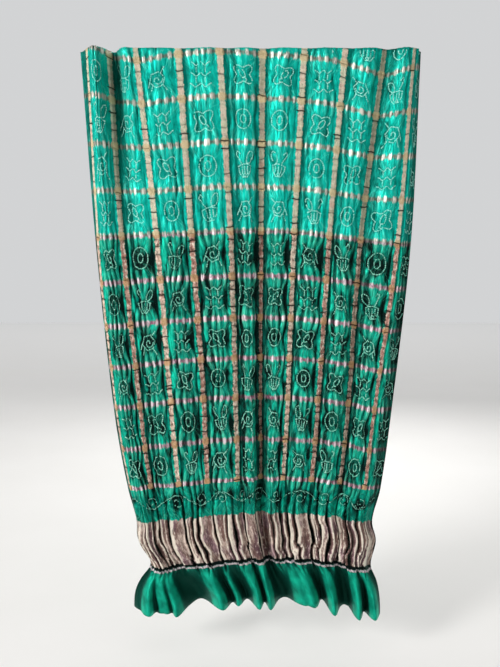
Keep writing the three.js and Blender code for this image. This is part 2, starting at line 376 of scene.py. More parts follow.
def surface(across, drop):
    """Points on the crinkled cloth, and the row count at each."""
    row = row_at(across, drop)
    beside = across - np.round(across)
    widened = across + 0.45 * beside * np.exp(-((beside / 0.11) ** 2)) * rise(TISSUE_TOP, CHECK_END, drop)
    along = (drape(across + LEAN_STEP, drop) - drape(across - LEAN_STEP, drop)) / (2 * LEAN_STEP)
    spread = np.hypot(along[..., 0], along[..., 1])
    slack = np.sqrt(np.maximum(CHECK_WIDTH ** 2 - spread ** 2, 0))
    crinkle_depth = np.minimum(slack / (2 * CRINKLES_PER_CHECK), CRINKLE_DEPTH)
    pleat_depth = np.minimum(slack * CHECKS / (2 * PLEATS), PLEAT_DEPTH)

    tissue = rise(PLEAT_START, TISSUE_TOP, drop)
    pleated = tissue * (1 - rise(TISSUE_END, PLEAT_END, drop))
    plain = rise(TISSUE_END, PLEAT_END, drop)
    crinkled = (1 - 0.8 * tissue) * (1 - 0.95 * plain)
    gathered = (0.7 + 0.3 * np.cos(np.pi * row) ** 2) * (0.48 + 0.44 * rise(0.30, 0.42, drop))
    crinkle = crinkled * gathered * crinkle_depth * crinkle_profile(across, row)
    pleat = pleated * pleat_depth * pleat_profile(across, drop)
    uneven = 1 + UNEVEN * swing(9.6 * across, 9 * drop)
    held = rise(0, SELVEDGE, np.minimum(across - LEFT_EDGE, RIGHT_EDGE - across))
    crease = np.clip(1 - np.abs(STREAK_GRAIN.at(across * 11, row * 1.7)) / 0.3, 0, 1)
    fine = 0.0010 * PUCKER_GRAIN.at(across * 19, row * 5) - 0.0015 * ease(crease)
    off_band = rise(0.06, 0.14, np.abs(beside))
    forward = held * (uneven * (crinkle + pleat) / 2 + crinkled * off_band * fine) / spread
    points = drape(widened, drop)
    points[..., 0] += forward * along[..., 1]
    points[..., 1] -= forward * along[..., 0]
    return points, row


# ---- Tied motifs, as strokes in a check whose middle is (0, 0) and whose sides are at -0.5 and 0.5 ----


def oval(centre, radii, start=0, end=360, turn=0, steps=24):
    """Points round part of an oval, clockwise from its right end."""
    lean = math.radians(turn)
    points = []
    for angle in np.radians(np.linspace(start, end, steps + 1)):
        x, y = radii[0] * math.cos(angle), radii[1] * math.sin(angle)
        points.append((centre[0] + x * math.cos(lean) - y * math.sin(lean),
                       centre[1] + x * math.sin(lean) + y * math.cos(lean)))
    return points


def flower():
    """Four petals round a slanting eye with a bud."""
    petals = []
    for angle in np.radians(np.linspace(0, 360, 61)):
        reach = 0.195 * (1 - 0.27 * math.cos(4 * angle))
        petals.append((reach * math.cos(angle), reach * math.sin(angle)))
    return [petals, oval((-0.02, -0.02), (0.05, 0.10), turn=-30), [(0.03, 0.06), (0.08, 0.11), (0.05, 0.15)]]


def ring():
    """One oval inside another."""
    return [oval((0, 0), (0.175, 0.205)), oval((0, 0), (0.06, 0.09))]


def sprig():
    """A pot with a curled leaf to one side and a looped one to the other."""
    pot = [(-0.15, 0.02), (-0.14, 0.13), (-0.07, 0.24), (0.05, 0.24), (0.13, 0.13), (0.15, 0.02)]
    rim = [(-0.15, 0.02), (-0.05, -0.02), (0.06, -0.02), (0.15, 0.02)]
    ribs = [[(x, 0.04), (x * 0.9, 0.16)] for x in (-0.07, 0.0, 0.07)]
    curled = [(-0.06, -0.02), (-0.11, -0.12), (-0.18, -0.23), (-0.14, -0.29), (-0.09, -0.24)]
    looped = oval((0.13, -0.15), (0.06, 0.13), turn=25)
    return [pot, rim, *ribs, curled, looped, oval((-0.01, 0.20), (0.03, 0.03), steps=8)]


def leaf():
    """A round leaf curled up on itself, with short stalks."""
    body = [(-0.17, 0.02), (-0.11, -0.13), (0.05, -0.16), (0.15, -0.03)]
    body += [(0.10, 0.12), (-0.05, 0.16), (-0.17, 0.02)]
    spiral = []
    for turn in np.linspace(0, 0.8, 16):
        reach = 0.11 * (1 - turn)
        spiral.append((reach * math.cos(8 * turn), reach * math.sin(8 * turn)))
    top = [(0.08, -0.13), (0.16, -0.23)]
    stalks = [[(-0.12, 0.11), (-0.17, 0.24)], [(0.10, 0.13), (0.17, 0.24)], [(-0.17, 0.02), (-0.21, 0.12)]]
    return [body, spiral, top, *stalks]


def waves():
    """Three scalloped tiers held apart by short uprights."""
    tiers = []
    for height, reach in ((-0.19, 0.17), (0.01, 0.18), (0.21, 0.20)):
        across = np.linspace(-1, 1, 17)
        dip = 0.032 * np.cos(2 * math.pi * across)
        tiers.append(list(zip(reach * across, height - dip)))
    uprights = [[(x, height - 0.03), (x, height + 0.04)] for x in (-0.09, 0.09) for height in (-0.09, 0.11)]
    return tiers + uprights


MOTIFS = (flower(), ring(), sprig(), leaf(), waves())


def motif_for(check, line):
    """The motifs run in a fixed order, stepped on by one each row and mirrored about the middle check."""
    from_edge = check if check <= 5 else 11 - check
    return MOTIFS[(from_edge - 1 + line - DYE_ROW) % len(MOTIFS)]


def check_strokes(random):
    """Every check's motif on the flat silk, each a little off in turn, place and size, as hand tying is."""
    strokes = []
    for check in range(1, 11):
        for line in range(0, 11):
            lean = random.normal(0, 0.10)
            size = random.uniform(0.95, 1.12)
            shift = random.normal(0, 0.016, 2)
            flip = -1 if check > 5 else 1
            turn = np.array([[math.cos(lean), math.sin(lean)], [-math.sin(lean), math.cos(lean)]])
            middle = (check + 0.5 + shift[0], line + 0.5 + shift[1])
            wide = (MOTIF_WIDTH * flip * size, MOTIF_HEIGHT * size)
            strokes += [np.array(stroke) * wide @ turn + middle for stroke in motif_for(check, line)]
    return strokes


def vine_strokes(random):
    """The running scroll above the tissue: a wandering stem with a curl in each bend."""
    level = LAST_WEFT_ROW + 0.48
    along = np.linspace(0.9, 10.6, 140)
    bend = 2 * math.pi * along / (2 * VINE_BEND) + 0.5 * np.sin(1.3 * along)
    strokes = [np.stack([along, level + 0.17 * np.sin(bend)], -1)]
    turns = np.arange(math.ceil(bend[0] / math.pi), math.floor(bend[-1] / math.pi))
    for half in turns:
        side = -1 if half % 2 else 1
        size = random.uniform(0.8, 1.2)
        middle = np.array((np.interp((half + 0.5) * math.pi, bend, along), level - 0.02 * side))
        angles = np.linspace(math.pi, math.pi - side * 8.5, 22)
        reach = size * np.linspace(1, 0.22, 22)
        turned = [(0.22 * r * math.cos(a), 0.20 * r * math.sin(a)) for a, r in zip(angles, reach)]
        strokes.append(np.array(turned) + middle)
    return strokes


def dotted(stroke):
    """Dots spaced along a stroke: across, row, and the stroke's direction there."""
    scale = np.array((CHECK_WIDTH, CHECK_HEIGHT))
    points = stroke * scale
    run = np.concatenate([[0], np.cumsum(np.hypot(*np.diff(points, axis=0).T))])
    count = max(2, round(run[-1] / DOT_PITCH) + 1)
    at = np.linspace(0, run[-1], count)
    spaced = np.stack([np.interp(at, run, points[:, 0]), np.interp(at, run, points[:, 1])], -1) / scale
    return np.concatenate([spaced, np.gradient(spaced, axis=0)], -1)


def tied_dots(strokes):
    """Every dot that was tied: a little off its stroke, a few missing, and none on the warp bands."""
    dots = np.concatenate([dotted(stroke) for stroke in strokes])
    dots[:, :2] += np.random.default_rng(SCATTER_SEED).normal(0, 0.003, (len(dots), 2))
    across, in_vine = dots[:, 0], dots[:, 1] > LAST_WEFT_ROW
    inside = (across > LEFT_EDGE + SELVEDGE_GAP) & (across < RIGHT_EDGE - SELVEDGE_GAP)
    missing = np.where(in_vine, MISSING_VINE_DOTS, MISSING_DOTS)
    inside &= np.random.default_rng(MISSING_SEED).random(len(dots)) > missing
    off_band = (np.abs(across - np.round(across)) > BAND_HALF + 0.01) | in_vine
    return dots[inside & off_band]


def enclosed(strokes):
    """Places spread over the inside of every closed stroke, where the tied silk sinks in."""
    closed = [stroke for stroke in strokes if np.hypot(*(stroke[0] - stroke[-1])) < 0.01]
    places = []
    for stroke in closed:
        ring = dotted(stroke)[:, :2]
        middle = ring.mean(0)
        for share in (0.8, 0.6, 0.4, 0.2):
            step = max(1, round(1 / share))
            places.append(middle + (ring[::step] - middle) * share)
    return np.concatenate(places)


# ---- Meshes ----


def row_places():
    """Drops of the mesh's rows, closer together in the tissue."""
    field = np.linspace(0, CHECK_END, FIELD_ROWS + 1)
    tissue = np.linspace(CHECK_END, TISSUE_END, TISSUE_ROWS + 1)
    plain = np.linspace(TISSUE_END, HEM, PLAIN_ROWS + 1)
    return np.concatenate([field, tissue[1:], plain[1:]])


def box_blur(values, reach, axis):
    """The mean of each value and its neighbours up to reach away."""
    sides = [(reach + 1, reach) if k == axis else (0, 0) for k in range(values.ndim)]
    total = np.cumsum(np.pad(values, sides, mode="edge"), axis=axis)
    size = 2 * reach + 1
    count = values.shape[axis]
    return (total.take(range(size, size + count), axis) - total.take(range(count), axis)) / size


def behind(depth, reach):
    """How far each point lies behind the cloth within reach columns of it."""
    return depth - box_blur(box_blur(depth, reach, 1), reach, 1)


def hollows(across, drop, depth):
    """From 0 on a crest to 1 in a valley. In the checks it is how far a point lies behind the cloth round it,
    in the tissue it follows the pleats, and in the plain end the flares."""
    # The main folds count as hollow too. The silk's colour paints shade from this value, and in the tissue a
    # highlight on the folded edges.
    fold = 0.6 * ease((main_depth(across, drop) - 0.004) / 0.030)
    broad = behind(depth, 18)
    checks = ease(0.36 + behind(depth, 3) / 0.0070 + behind(depth, 7) / 0.0080 + broad / 0.06 + fold)
    pleats = 0.5 - 0.5 * pleat_profile(across, drop) + 0.35 * ease(broad / 0.02 - 0.2)
    flares = ease(0.42 + behind(depth, 6) / 0.020 + behind(depth, 38) / 0.036)
    tissue = rise(TISSUE_TOP - 0.065, TISSUE_TOP - 0.015, drop)
    plain = rise(TISSUE_END, TISSUE_END + 0.02, drop)
    return np.clip((checks * (1 - tissue) + pleats * tissue) * (1 - plain) + flares * plain, 0, 1)


def closeness(across, row, places):
    """How thickly the silk is tied round each mesh point, from 0 to 1."""
    fine = 60
    spots = np.zeros((int(CHECKS * fine) + 2, HEM_ROW * fine + 2))
    inside = (places[:, 0] > LEFT_EDGE) & (places[:, 0] < RIGHT_EDGE) & (places[:, 1] > 0)
    at = ((places[inside] - (LEFT_EDGE, 0)) * fine).astype(int)
    np.add.at(spots, (at[:, 0], at[:, 1]), 1)
    for axis in (0, 1, 0, 1):
        spots = box_blur(spots, 2, axis)
    columns = ((across - LEFT_EDGE) * fine).astype(int)
    return np.clip(spots[columns, (row * fine).astype(int)] / 0.08, 0, 1)


def finish_mesh(bm, name, material):
    """Makes the shape a piece of the scene."""
    mesh = bpy.data.meshes.new(name)
    bm.to_mesh(mesh)
    bm.free()
    mesh.materials.append(material)
    piece = bpy.data.objects.new(name, mesh)
    bpy.context.scene.collection.objects.link(piece)
    return piece


def make_cloth(across, drop, points, row, tied_at, material):
    """The silk: a flat grid with its points moved to their hung places, then given its thickness."""
    rows, columns = across.shape
    bm = bmesh.new()
    bmesh.ops.create_grid(bm, x_segments=columns - 1, y_segments=rows - 1, size=1)
    weave = bm.loops.layers.uv.new("weave")
    unfolded = bm.loops.layers.uv.new("OFBake")
    spreads = {
        "hollow": hollows(across, drop, points[..., 1]),
        "tied": tied_at,
        "crest": crinkle_wave(across, row),
        "swell": swells(across, row),
    }
    layers = [(bm.verts.layers.float.new(name), spread) for name, spread in spreads.items()]
    for vert in bm.verts:
        column = round((vert.co.x + 1) / 2 * (columns - 1))
        line = round((1 - vert.co.y) / 2 * (rows - 1))
        vert.index = line * columns + column
        vert.co = points[line, column]
        for layer, spread in layers:
            vert[layer] = spread[line, column]
    for face in bm.faces:
        face.smooth = True
        for loop in face.loops:
            line, column = divmod(loop.vert.index, columns)
            loop[weave].uv = (across[line, column], row[line, column])
            loop[unfolded].uv = (column / (columns - 1), 1 - line / (rows - 1))
    cloth = finish_mesh(bm, "silk_cloth", material)
    thick = cloth.modifiers.new("thickness", "SOLIDIFY")
    thick.thickness = SILK_THICKNESS
    thick.offset = 0
    return cloth


def between(values, column, line):
    """Values of the cloth's mesh between its points."""
    left = np.clip(column.astype(int), 0, values.shape[1] - 2)
    top = np.clip(line.astype(int), 0, values.shape[0] - 2)
    share_x, share_y = (column - left)[:, None], (line - top)[:, None]
    upper = values[top, left] * (1 - share_x) + values[top, left + 1] * share_x
    lower = values[top + 1, left] * (1 - share_x) + values[top + 1, left + 1] * share_x
    return upper * (1 - share_y) + lower * share_y


def dot_places(points, dots):
    """Each dot's seat in the cloth, the way it faces, the way its stroke runs and its scale."""
    places = row_places()
    level = np.interp(dots[:, 1], range(len(ROW_DROPS)), ROW_DROPS)
    drop = level.copy()
    for _ in range(SAG_ROUNDS):
        drop = level + at_place(SAG, dots[:, 0], drop) * (1 - rise(0, DYE_DROP, drop))
    seen = drop > TOP_GAP
    dots, drop = dots[seen], drop[seen]
    column = (dots[:, 0] - LEFT_EDGE) / CHECKS * COLUMNS
    line = np.interp(drop, places, range(len(places)))
    to_right, down = np.gradient(points, axis=1), np.gradient(points, axis=0)
    facing = np.cross(down, to_right)
    right_at, down_at = between(to_right, column, line), between(down, column, line)
    row_step = (ROW_DROPS[2] - ROW_DROPS[1]) / (places[1] - places[0])
    run = right_at * dots[:, 2:3] * COLUMNS / CHECKS + down_at * dots[:, 3:4] * row_step
    scale = np.where(dots[:, 1] > LAST_WEFT_ROW, VINE_DOT, 1)
    return between(points, column, line), between(facing, column, line), run, scale


def make_dots(points, dots, material):
    """Every tied dot, a low closed dome on both faces of the silk, drawn out along its stroke. They are made
    in batches, because each new one takes longer in a large mesh."""
    bm = bmesh.new()
    batch = bmesh.new()
    part = bpy.data.meshes.new("dot_batch")
    for seat, normal, run, scale in zip(*dot_places(points, dots)):
        out = Vector(normal).normalized()
        along = Vector(run) - out * out.dot(Vector(run))
        along.normalize()
        side = out.cross(along)
        turn = Matrix((along, side, out)).transposed().to_4x4()
        size = Matrix.Diagonal((DOT_LENGTH * scale, DOT_WIDTH * scale, DOT_HEIGHT, 1))
        place = Matrix.Translation(Vector(seat))
        bmesh.ops.create_icosphere(batch, subdivisions=1, radius=0.5, matrix=place @ turn @ size)
        if len(batch.verts) > DOTS_BATCH:
            batch.to_mesh(part)
            bm.from_mesh(part)
            batch.clear()
    batch.to_mesh(part)
    bm.from_mesh(part)
    batch.free()
    bpy.data.meshes.remove(part)
    for face in bm.faces:
        face.smooth = True
    return finish_mesh(bm, "tied_dots", material)


# ---- Materials ----


def dye(code):
    """A linear colour from its usual six-figure code."""
    parts = [int(code[k:k + 2], 16) / 255 for k in (0, 2, 4)]
    return (*(part / 12.92 if part <= 0.04045 else ((part + 0.055) / 1.055) ** 2.4 for part in parts), 1)


class Finish:
    """A material and short calls that add its nodes."""

    def __init__(self, name):
        self.material = bpy.data.materials.new(name)
        self.material.use_nodes = True
        self.tree = self.material.node_tree
        self.shader = self.tree.nodes["Principled BSDF"]

    def plug(self, value, socket):
        """Links a node's output to a socket, or sets the socket to a plain value or a colour code."""
        if isinstance(value, str):
            value = dye(value)
        if isinstance(value, bpy.types.NodeSocket):
            self.tree.links.new(value, socket)
        elif value is not None:
            socket.default_value = value

    def set(self, name, value):
        self.plug(value, self.shader.inputs[name])

    def node(self, kind, *values, **named):
        """A new node, its sockets given values in their order or by name."""
        node = self.tree.nodes.new("ShaderNode" + kind)
        for value, socket in zip(values, node.inputs):
            self.plug(value, socket)
        for name, value in named.items():
            self.plug(value, node.inputs[name])
        return node

    def math(self, operation, *values):
        node = self.node("Math", *values)
        node.operation = operation
        return node.outputs[0]

    def add(self, *values):
        total = values[0]
        for value in values[1:]:
            total = self.math("ADD", total, value)
        return total

    def less(self, *values):
        return self.math("SUBTRACT", *values)

    def times(self, *values):
        total = values[0]
        for value in values[1:]:
            total = self.math("MULTIPLY", total, value)
        return total

    def span(self, value, low, high, start=0.0, end=1.0):
        """Eases from start to end as value goes from low to high."""
        node = self.node("MapRange", value, low, high, start, end)
        node.interpolation_type = "SMOOTHSTEP"
        return node.outputs[0]

    def fade(self, share, start, end):
        """Eases from start to end as share goes from 0 to 1."""
        return self.span(share, 0, 1, start, end)

    def fall(self, value, low, high):
        """Eases from 1 to 0 as value goes from low to high."""
        return self.span(value, low, high, 1, 0)

    def past_dye(self, row, aqua, emerald, reach=0.1):
        """Goes from the aqua's value to the emerald's across the dye line."""
        return self.span(row, DYE_ROW - reach, DYE_ROW + reach, aqua, emerald)

    def mix(self, share, first, second):
        node = self.node("Mix")
        node.data_type = "RGBA"
        colours = [socket for socket in node.inputs if socket.type == "RGBA"]
        self.plug(share, node.inputs[0])
        self.plug(first, colours[0])
        self.plug(second, colours[1])
        return next(socket for socket in node.outputs if socket.type == "RGBA")

    def mix_value(self, share, first, second):
        return self.add(self.times(first, self.less(1, share)), self.times(second, share))

    def join(self, x, y, z=0.0):
        return self.node("CombineXYZ", x, y, z).outputs[0]

    def noise(self, place, scale, detail=2.0, roughness=0.5):
        return self.node("TexNoise", Vector=place, Scale=scale, Detail=detail, Roughness=roughness).outputs[0]

    def grain(self, wide, long, detail=2, roughness=0.5, scale=1.0, across=None):
        """Noise over the weave, so many grains to a check across and to a row along."""
        across = self.across if across is None else across
        place = self.join(self.times(across, wide), self.times(self.row, long))
        return self.noise(place, scale, detail, roughness)

    def ripple(self, wide, seed):
        """Noise that changes across the cloth alone."""
        return self.noise(self.join(self.times(self.across, wide), seed), 1.0, 2)

    def stray(self, noise, reach):
        """A shift to either side, from noise about a half."""
        return self.times(self.less(noise, 0.5), reach)

    def chance(self, place):
        """A number between 0 and 1, different for each place."""
        node = self.node("TexWhiteNoise", Vector=place)
        node.noise_dimensions = "2D"
        return node.outputs["Value"]

    def spread(self, name):
        """What the cloth's mesh knows about each place."""
        node = self.node("Attribute")
        node.attribute_name = name
        return node.outputs["Fac"]

    def split(self, place):
        return self.node("SeparateXYZ", place).outputs

    def on_weave(self):
        """Gives the finish across and row, from the cloth's own map."""
        node = self.node("UVMap")
        node.uv_map = "weave"
        self.across, self.row = self.split(node.outputs[0])[:2]

    def beside(self, value):
        """How far value is from the nearest whole number."""
        return self.math("ABSOLUTE", self.less(value, self.math("ROUND", value)))

    def bump(self, height, distance, strength=1.0, under=None):
        """Fine relief of the given height, over the relief under it."""
        return self.node("Bump", Strength=strength, Distance=distance, Height=height, Normal=under).outputs[0]


def crinkle_streaks(f, across, row):
    """Streaks that fan out from each motif to the edges of its check, broad over the aqua and finer over the
    emerald, with thin creases and thin bright glint lines among them. They give the fine relief, and the
    silk's colour paints light and shade from them: lighter along the streaks, painted shade in their low
    parts and the creases, and a painted highlight on the glint lines."""
    middle = f.add(f.math("FLOOR", across), 0.5)
    centre = f.add(f.math("FLOOR", row), 0.5)
    aside = f.less(across, middle)
    down = f.times(f.less(row, centre), CHECK_HEIGHT / CHECK_WIDTH)
    away = f.math("SQRT", f.add(f.times(aside, aside), f.times(down, down), 0.003))
    check = f.add(f.times(middle, 7.3), f.times(centre, 3.1), f.times(away, 1.5))
    reach = f.past_dye(row, 2.6, 3.8, 0.02)
    rays = [f.times(f.math("DIVIDE", part, away), reach) for part in (aside, down)]
    ray = f.noise(f.join(*rays, check), 1.0, 2, 0.5)
    open_out = f.times(f.beside(f.add(row, 0.5)), 2)
    fanned = f.add(middle, f.times(aside, f.less(1.45, f.times(0.45, open_out))))
    broad = f.grain(9.5, 1.9, 3, across=fanned)
    fine = f.grain(15, 2.6, 3, 0.6, across=fanned)
    emerald = f.past_dye(row, 0, 1, 0.02)
    streak = f.mix_value(f.fade(emerald, 0.65, 0.5), f.mix_value(emerald, broad, fine), ray)
    streak = f.add(0.5, f.stray(streak, 1.25))
    crease = f.noise(f.join(f.add(f.times(fanned, 10), 31), f.times(row, 2.2)), 1.0, 2)
    thin = f.fall(f.math("ABSOLUTE", f.less(crease, 0.5)), 0.0, 0.045)
    stretch = f.noise(f.join(*[f.times(part, 1.6) for part in rays], f.add(check, 77)), 1.0, 2)
    upright = f.span(f.math("ABSOLUTE", f.math("DIVIDE", down, away)), 0.35, 0.7)
    glint = f.times(f.fall(f.math("ABSOLUTE", f.less(stretch, 0.5)), 0.0, 0.028), upright)
    return streak, thin, glint


def band_rungs(f, across, row):
    """The thin dark puckers that rule the warp bands, each with its own place, weight and reach, and the
    puffs of band between them. The dark of a rung is painted shade in its pucker."""
    band = f.math("ROUND", across)
    wobble = f.stray(f.grain(26, 9, 1, scale=0.3), 0.4)
    count = f.add(f.times(row, RUNGS_PER_ROW), f.add(f.times(band, 3.37), wobble))
    step = f.math("FLOOR", count)
    seat = f.add(0.15, f.times(0.7, f.chance(f.join(step, band))))
    luck = f.chance(f.join(f.add(step, 40.5), band))
    gap = f.math("ABSOLUTE", f.less(f.less(count, step), seat))
    reach = f.add(0.050, f.times(0.05, f.span(luck, 0.70, 0.95)))
    held = f.fall(f.less(f.beside(across), reach), -0.01, 0.015)
    thick = f.span(luck, 0.3, 1.0, 0.04, 0.11)
    weight = f.add(0.08, f.times(0.92, f.span(luck, f.past_dye(row, 0.42, 0.20), 0.92)))
    line = f.times(f.fall(f.math("DIVIDE", gap, thick), 0.3, 1.0), weight)
    puff = f.span(gap, 0.0, 0.35)
    return f.times(line, held), puff


def silk_colour(f):
    """Painted light and shade on each dye: bright lit crests, deeper middles, painted shade in the valleys,
    towards the side edges, in random patches, in each check's sink and in and round the tied outlines, and
    painted highlights on the glint lines and crinkle crests.
    """
    emerald, plain, hollow = f.emerald, f.plain, f.hollow
    in_checks = f.fade(plain, 1, 0)
    patch = f.noise(f.flat, 0.045, 2)
    # The three colours below are each dye lit, in middle light and in shade: painted light and shade.
    crest = f.mix(plain, f.mix(emerald, "0CC7B3", "1ADAB6"), "16BF9C")
    middle = f.mix(plain, f.mix(emerald, "009F8E", "008C78"), "035244")
    valley_shade = f.mix(plain, f.mix(emerald, "005A4E", "021412"), "02241B")
    # lit is painted light: brighter along the streaks, in random patches and on each check's swell, darker in
    # the hollows.
    lit = f.add(f.times(f.mix_value(plain, f.streak, 0.5), 0.9), f.times(patch, 0.6))
    lit = f.less(lit, f.times(f.less(hollow, 0.3), f.fade(plain, 0.35, 0.6)))
    lit = f.add(lit, f.times(f.math("MAXIMUM", f.swell, 0.0), f.fade(emerald, 0.15, 0.45)))
    lit = f.span(lit, f.fade(emerald, 0.48, 0.66), f.fade(emerald, 1.0, 1.10))
    # Painted shade towards the side edges of the checks.
    edge_shade = f.span(f.math("ABSOLUTE", f.less(f.across, MIDDLE)), 3.0, 5.2, 0, 0.45)
    silk = f.mix(f.times(lit, f.less(1, f.times(edge_shade, in_checks))), middle, crest)
    # Painted shade in the streaks' low parts and in the thin creases.
    streak_and_crease_shade = f.add(f.times(f.fall(f.streak, 0.28, 0.48), 0.30), f.times(f.crease, 0.35))
    # Painted shade in the valleys, pleat slots and flare recesses, read from the hollow attribute.
    dark = f.add(f.span(hollow, f.fade(plain, 0.35, 0.1), 0.95), f.times(streak_and_crease_shade, in_checks))
    dark = f.times(dark, f.fade(emerald, 0.62, 0.70))
    # Painted shade in broad random patches over the emerald checks.
    shade_patches = f.grain(2.7, 1.7)
    dark = f.add(dark, f.times(f.span(shade_patches, 0.53, 0.68), emerald, in_checks, 0.75))
    # Painted shade in and round the tied outlines, where the tied silk sinks in.
    dark = f.add(dark, f.times(f.tied, f.fade(emerald, 0.35, 0.74)))
    # Painted shade in each check's sink before its right band.
    dark = f.add(dark, f.times(f.fall(f.swell, -0.9, 0), f.fade(emerald, 0.2, 0.9)))
    silk = f.mix(f.math("MINIMUM", dark, 1.0), silk, valley_shade)
    # Painted highlight on the glint lines and on the crinkle crests near the weft lines.
    painted_glint = f.times(f.glint, in_checks, f.span(hollow, 0.3, 0.9, 0.5, 0.2))
    painted_glint = f.math("MAXIMUM", painted_glint, f.times(f.pucker, f.fade(emerald, 0.55, 0.75)))
    return f.mix(painted_glint, silk, f.mix(emerald, "5CEAD4", "5CDDB8"))


def band_colour(f):
    """Warp bands: tan over the aqua, cream or rosy over the emerald, with random rubbed patches, painted
    shade toward the rungs so that they look paler where they puff up between, painted highlight flecks, a
    thin painted highlight along the edges, and painted shade where they lie in a valley."""
    emerald, thread = f.emerald, f.thread
    band = f.math("ROUND", f.across)
    length = f.grain(5.7, 2.4, across=band)
    khaki = f.mix(thread, "C0BC98", "F4EED4")
    cream = f.mix(thread, "CDB49A", "FCEEDA")
    pink = f.mix(thread, "C89C86", "F6D6C2")
    rose = f.mix(thread, "AA6656", "F0BCAC")
    every_other = f.less(1, f.times(f.beside(f.times(band, 0.5)), 2))
    rosy = f.span(f.add(length, f.times(every_other, 0.25)), 0.50, 0.78)
    tan = f.mix(f.span(length, 0.42, 0.60), khaki, f.mix(f.span(length, 0.55, 0.70), cream, pink))
    warm = f.mix(rosy, f.mix(f.span(length, 0.4, 0.6), pink, cream), rose)
    threads = f.mix(emerald, tan, warm)
    # Painted shade toward the rungs, darker over the emerald, leaving each puff paler in its middle.
    drawn = f.times(f.fade(f.puff, 1, 0), f.fade(emerald, 0.12, 0.40))
    threads = f.mix(drawn, threads, f.mix(emerald, "6E6650", "7A4A38"))
    # One noise gives random rubbed patches and places the painted highlight flecks.
    wear_and_glint = f.grain(17, 10, 3, 0.6)
    rubbed = f.times(f.span(wear_and_glint, 0.52, 0.66), f.fade(emerald, 0.35, 0.75))
    threads = f.mix(rubbed, threads, "5E4238")
    # Painted highlight flecks on the metal threads.
    shiny = f.times(f.span(wear_and_glint, 0.48, 0.36), f.fade(emerald, 0.2, 0.85))
    threads = f.mix(shiny, threads, "FFF4E2")
    # Painted highlight along the band's ragged edges.
    ragged = f.span(f.grain(60, 30, scale=0.6), 0.4, 0.6)
    edge = f.times(f.span(f.beside_band, 0.036, 0.044), ragged, 0.6)
    threads = f.mix(edge, threads, "F3E8D0")
    # Painted shade where a band lies in a valley.
    sunk_shade = f.span(f.hollow, 0.60, 1.0, 0, 0.5)
    return f.mix(sunk_shade, threads, f.mix(emerald, "5C5A44", "4A261E"))


def weft_colour(f):
    """Weft lines: grey-brown or magenta, with cream dashes painted as highlights where they cross a crest,
    and painted shade where they lie in a valley and in the thin creases.
    """
    emerald = f.emerald
    # The painted shade colour of a weft line lying in a valley.
    sunk_shade = f.mix(emerald, "3E3A32", "2A121C")
    tone = f.span(f.weft_tone, 0.40, 0.68)
    grey = f.mix(tone, "5A554A", "A39C8C")
    magenta = f.mix(tone, "8A2E58", "D8A0B8")
    ground = f.mix(emerald, grey, magenta)
    # Painted shade where the weft lies in a valley.
    gap = f.mix(f.span(f.hollow, 0.45, 0.9, 0, 0.85), ground, sunk_shade)
    # Painted highlight: cream dashes where the weft crosses a crest.
    line = f.mix(f.dash, gap, f.mix(emerald, "EFE9DC", "FCE6EC"))
    # Painted shade in the thin creases.
    return f.mix(f.times(f.crease, 0.5), line, "3A2A24")


def crossing_colour(f, checked):
    """How much of the golden square shows where a band crosses a weft line, and its colour."""
    wide = f.math("POWER", f.math("DIVIDE", f.beside_band, CROSSING_HALF_WIDTH), 4)
    tall = f.math("POWER", f.math("DIVIDE", f.beside_line, CROSSING_HALF_HEIGHT), 4)
    share = f.times(f.fall(f.add(wide, tall), 0.2, 1.4), checked, 0.75)
    pale = f.mix(f.thread, "CBAE7E", "EED4A4")
    golden = f.mix(f.thread, "BC8250", "E8BC88")
    return share, f.mix(f.emerald, pale, golden)


def tissue_colour(f):
    """Metal-thread tissue: mottled cream, tan and mauve faces, lighter beside the fold on their lit side,
    with painted highlights on the folded edges and painted shade down to black in the slots.
    """
    low = f.span(f.row, TISSUE_ROW + 0.1, TISSUE_ROW + 0.8, 0.10, 0.42)
    kink = f.grain(22, 11, 3, 0.6)
    hollow = f.add(f.hollow, f.stray(kink, low))
    blotch = f.grain(100, 40, 4, 0.7, scale=0.20)
    face_tone = f.grain(2.6, 1.7, 1)
    mauve = f.span(f.noise(f.flat, 0.022, 1), 0.46, 0.64)
    # Painted light: each face is lighter beside the fold on its lit side.
    facing = f.times(f.less(0.375, hollow), 1.2)
    lit = f.span(f.add(f.times(blotch, 0.8), f.times(face_tone, 0.9), facing), 0.78, 1.20)
    shade = f.mix(mauve, "80605A", "6E4E56")
    bright = f.mix(mauve, "F0D8CA", "CAA6AA")
    tissue = f.mix(lit, shade, bright)
    fleck = f.grain(15, 9, 3, 0.6)
    tissue = f.mix(f.times(f.span(fleck, 0.56, 0.68), 0.6), tissue, "F8E8D8")
    tissue = f.mix(f.times(f.span(fleck, 0.44, 0.34), 0.6), tissue, "4C3836")
    # Painted shade where the tissue lies deeper.
    tissue = f.mix(f.span(hollow, 0.36, 0.58, 0, 0.6), tissue, "5A4440")
    # Painted highlight on the folded edges.
    tissue = f.mix(f.times(f.fall(hollow, 0.16, 0.28), 0.9), tissue, "FFF3E2")
    # Painted shade, down to black, in the slots.
    return f.mix(f.span(hollow, 0.64, 0.80), tissue, "0B0807")


def end_lines(f, colour):
    """Two lines close the tissue: a black one, and a pale dashed one that comes and goes."""
    row = f.add(f.woven_row, f.stray(f.ripple(3.5, 5), 0.10))
    black = f.times(f.plain, f.fall(row, PLAIN_ROW + 0.05, PLAIN_ROW + 0.07))
    colour = f.mix(black, colour, "07080A")
    dash = f.ripple(22, 2)
    pale = f.mix(f.span(dash, 0.35, 0.6), "8C7C8A", "EBDDE0")
    below = f.span(row, PLAIN_ROW + 0.062, PLAIN_ROW + 0.072)
    line = f.times(below, f.fall(row, PLAIN_ROW + 0.10, PLAIN_ROW + 0.115))
    return f.mix(f.times(line, f.span(dash, 0.25, 0.4)), colour, pale)


